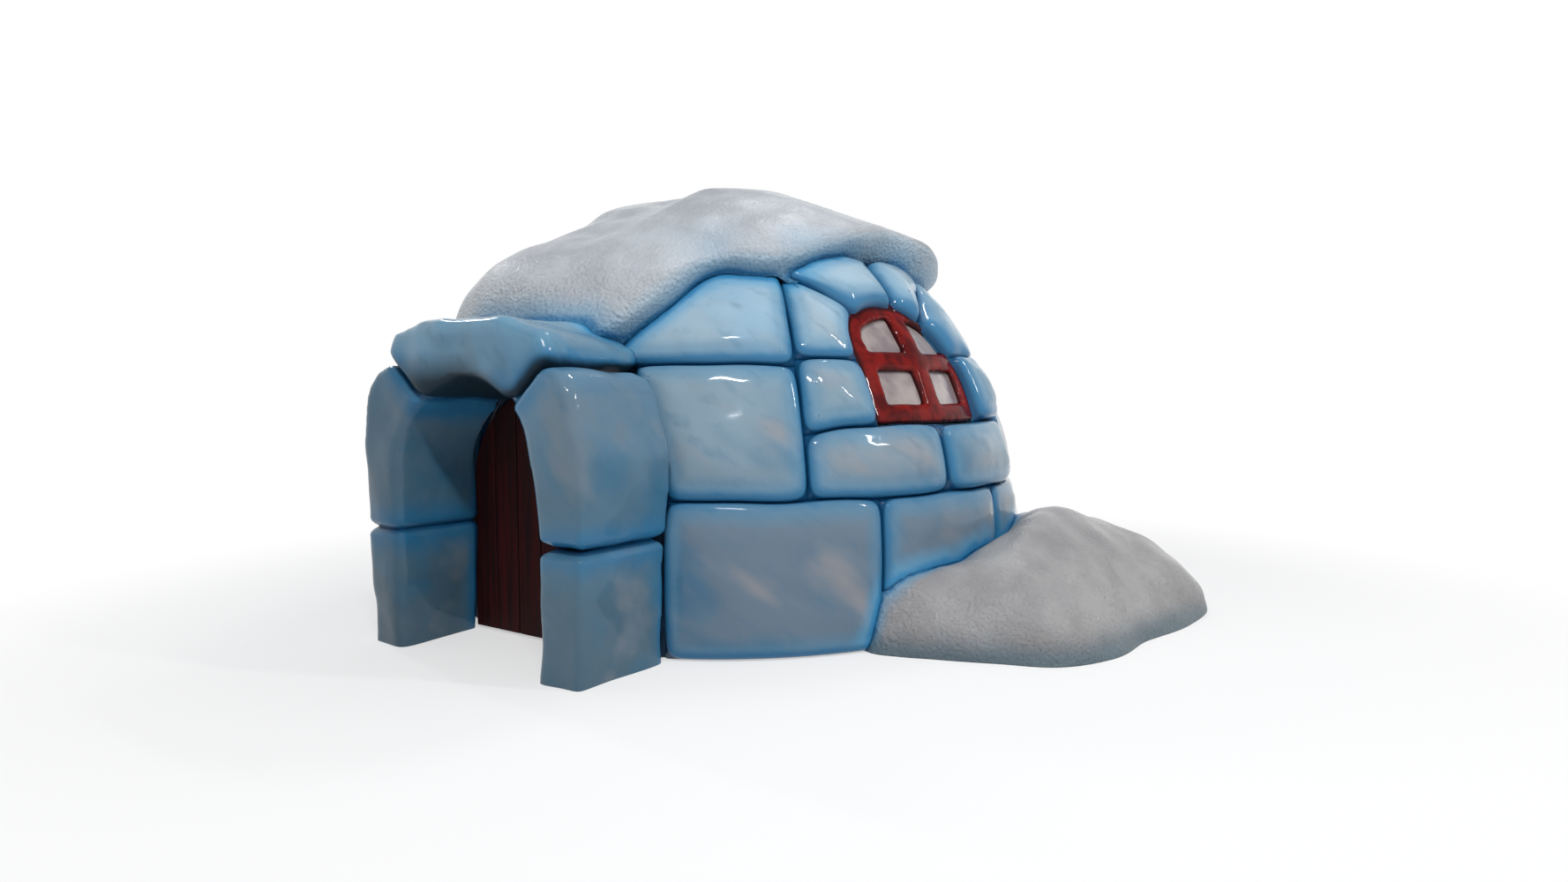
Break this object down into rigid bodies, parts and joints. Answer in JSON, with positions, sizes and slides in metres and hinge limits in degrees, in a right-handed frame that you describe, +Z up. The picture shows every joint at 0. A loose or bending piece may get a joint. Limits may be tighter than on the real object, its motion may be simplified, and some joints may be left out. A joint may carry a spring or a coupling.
{
  "type": "walk-in display igloo",
  "caption": "Walk-in display igloo: a dome of large rounded ice blocks with a block porch, an arched plank door, a curved window, a cap of snow and a snow drift.",
  "frame": {"origin": "centre of the whole footprint's box, on the ground", "axes": "+Z up; +X towards the window and the snow drift; -Y the way the porch faces"},
  "size_m": [3.825, 3.307, 2.198],
  "materials": {
    "dome_block": "hand-painted pale blue with deep blue joints, under clear gloss",
    "porch_block": "hand-painted grey blue with warm patches, under clear gloss",
    "snow": "stippled pale grey coat with a satin sheen",
    "frame_paint": "glossy dark red",
    "pane": "glossy opaque grey white",
    "door_wood": "dark red stained planks",
    "hinge_steel": "dark plain steel"
  },
  "bodies": {
    "shell": {"arch_stone_front": "dome_block", "arch_stone_rear": "dome_block", "arch_stone_top": "dome_block", "base_block_1": "dome_block", "base_block_2": "dome_block", "base_block_3": "dome_block", "base_block_4": "dome_block", "base_block_5": "dome_block", "base_block_6": "dome_block", "base_block_7": "dome_block", "base_block_8": "dome_block", "base_block_9": "dome_block", "crown": "dome_block", "door_head": "dome_block", "front_wall_left": "dome_block", "front_wall_right": "dome_block", "haunch_stone": "dome_block", "hinge_brackets": "hinge_steel", "jamb_stone_front": "dome_block", "jamb_stone_rear": "dome_block", "middle_block_1": "dome_block", "middle_block_2": "dome_block", "middle_block_3": "dome_block", "middle_block_4": "dome_block", "middle_block_5": "dome_block", "middle_block_6": "dome_block", "over_door_block": "dome_block", "pier_lower_left": "porch_block", "pier_lower_right": "porch_block", "pier_upper_left": "porch_block", "pier_upper_right": "porch_block", "porch_lintel": "porch_block", "sill_block_1": "dome_block", "sill_block_2": "dome_block", "snow_cap": "snow", "snow_drift": "snow", "upper_block_1": "dome_block", "upper_block_2": "dome_block", "upper_block_3": "dome_block", "upper_block_4": "dome_block", "upper_block_5": "dome_block", "window_frame": "frame_paint", "window_panes": "pane"},
    "door": {"door_leaf": "door_wood", "door_ledges": "door_wood", "door_straps": "hinge_steel"}
  },
  "joints": [
    {"name": "door_hinge", "type": "hinge", "parent": "shell", "child": "door", "pos_m": [-0.8465, -1.219, 0.41], "axis": [0, 0, 1], "range_deg": [0, 90]}
  ]
}
